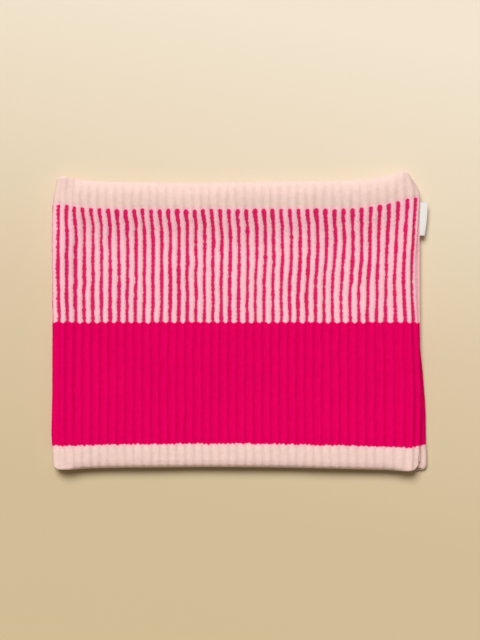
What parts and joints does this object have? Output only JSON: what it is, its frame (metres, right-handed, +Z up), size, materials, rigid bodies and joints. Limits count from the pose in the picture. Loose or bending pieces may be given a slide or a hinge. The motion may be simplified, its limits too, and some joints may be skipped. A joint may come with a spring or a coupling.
{
  "type": "neck gaiter",
  "caption": "Rib-knit neck gaiter lying flat, a pull-on tube with pale borders, a striped band and a plain band, side seam and folded label.",
  "frame": {"origin": "middle of the flat-laid gaiter's box, label included, on the surface that it lies on", "axes": "+X from the left fold to the side seam with the label, +Y along the neck towards the top border, +Z up through the layers"},
  "size_m": [0.2812, 0.2126, 0.013],
  "materials": {
    "pale_pink_knit": "brushed wool rib knit",
    "magenta_knit": "brushed wool rib knit",
    "striped_knit": "brushed wool rib knit, pale ribs over magenta grooves",
    "seam_thread": "matte spun thread",
    "label_tape": "woven satin tape"
  },
  "bodies": {
    "back_left": {"back_left_bottom_border": "pale_pink_knit", "back_left_solid_band": "magenta_knit", "back_left_striped_band": "striped_knit", "back_left_top_border": "pale_pink_knit"},
    "back_center": {"back_center_bottom_border": "pale_pink_knit", "back_center_solid_band": "magenta_knit", "back_center_striped_band": "striped_knit", "back_center_top_border": "pale_pink_knit"},
    "back_right": {"back_right_bottom_border": "pale_pink_knit", "back_right_solid_band": "magenta_knit", "back_right_striped_band": "striped_knit", "back_right_top_border": "pale_pink_knit"},
    "front_left": {"front_left_bottom_border": "pale_pink_knit", "front_left_solid_band": "magenta_knit", "front_left_striped_band": "striped_knit", "front_left_top_border": "pale_pink_knit"},
    "front_center": {"front_center_bottom_border": "pale_pink_knit", "front_center_solid_band": "magenta_knit", "front_center_striped_band": "striped_knit", "front_center_top_border": "pale_pink_knit"},
    "front_right": {"front_right_bottom_border": "pale_pink_knit", "front_right_solid_band": "magenta_knit", "front_right_striped_band": "striped_knit", "front_right_top_border": "pale_pink_knit"},
    "side_seam": {"seam_edge_front": "pale_pink_knit", "seam_edge_back": "pale_pink_knit", "seam_thread": "seam_thread", "label_ends": "label_tape"},
    "label": {"label_tab": "label_tape"}
  },
  "joints": [
    {"name": "tube_open", "type": "hinge", "parent": "back_center", "child": "back_left", "pos_m": [-0.04893, 0, 0.0035], "axis": [0, 1, 0], "range_deg": [0, 60]},
    {"name": "back_right_bend", "type": "hinge", "parent": "back_center", "child": "back_right", "pos_m": [0.04273, 0, 0.0035], "axis": [0, -1, 0], "range_deg": [0, 60]},
    {"name": "left_fold", "type": "hinge", "parent": "back_left", "child": "front_left", "pos_m": [-0.1406, 0, 0.0065], "axis": [0, -1, 0], "range_deg": [0, 120]},
    {"name": "front_left_bend", "type": "hinge", "parent": "front_left", "child": "front_center", "pos_m": [-0.04893, 0, 0.0095], "axis": [0, 1, 0], "range_deg": [0, 60]},
    {"name": "front_right_bend", "type": "hinge", "parent": "front_center", "child": "front_right", "pos_m": [0.04273, 0, 0.0095], "axis": [0, 1, 0], "range_deg": [0, 60]},
    {"name": "seam_swing", "type": "hinge", "parent": "back_right", "child": "side_seam", "pos_m": [0.1344, 0, 0.0065], "axis": [0, 1, 0], "range_deg": [0, 60]},
    {"name": "label_flap", "type": "hinge", "parent": "side_seam", "child": "label", "pos_m": [0.1344, 0, 0.0065], "axis": [0, -1, 0], "range_deg": [-50, 50], "stiffness_Nm_per_rad": 0.001}
  ],
  "couplings": [
    {"joint": "back_right_bend", "follows": "tube_open", "ratio": 1},
    {"joint": "left_fold", "follows": "tube_open", "ratio": 2},
    {"joint": "front_left_bend", "follows": "tube_open", "ratio": 1},
    {"joint": "front_right_bend", "follows": "tube_open", "ratio": 1},
    {"joint": "seam_swing", "follows": "tube_open", "ratio": 1}
  ]
}
